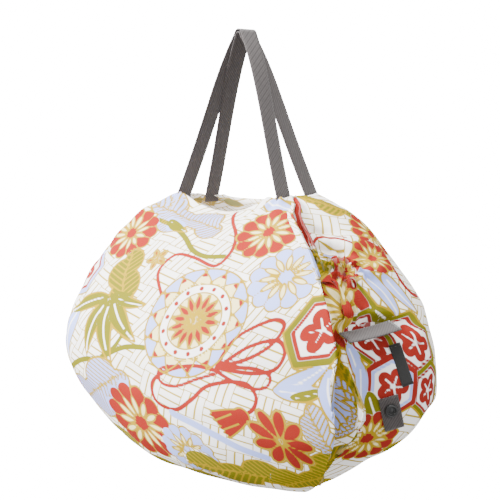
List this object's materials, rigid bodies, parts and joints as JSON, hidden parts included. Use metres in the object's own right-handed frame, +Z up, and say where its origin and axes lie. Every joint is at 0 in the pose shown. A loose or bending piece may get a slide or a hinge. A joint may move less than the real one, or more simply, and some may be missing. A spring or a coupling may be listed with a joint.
{
  "type": "foldable shopping bag",
  "caption": "Soft printed cloth shopping bag, hanging full and round by two webbing handles, with tucked ends, a pull tape across each end and a snap tab.",
  "frame": {"origin": "hang point, at the underside of the crown where both handles pass over their support", "axes": "+Z up, X along the bag's length with the snap tab at +X, front at -Y"},
  "size_m": [0.4677, 0.2778, 0.4629],
  "materials": {
    "printed_cloth": "thin woven polyester, printed in red, olive, lavender and gold on white",
    "webbing": "warm grey twill webbing",
    "snap_plastic": "black moulded snap",
    "label_cloth": "black woven strip, bare"
  },
  "bodies": {
    "root": {"bag_body": "printed_cloth", "handle_front": "webbing", "handle_back": "webbing", "pull_tape_right": "webbing", "pull_tape_left": "webbing", "snap_tab": "webbing", "snap_button": "snap_plastic", "label_strip": "label_cloth"}
  },
  "joints": []
}
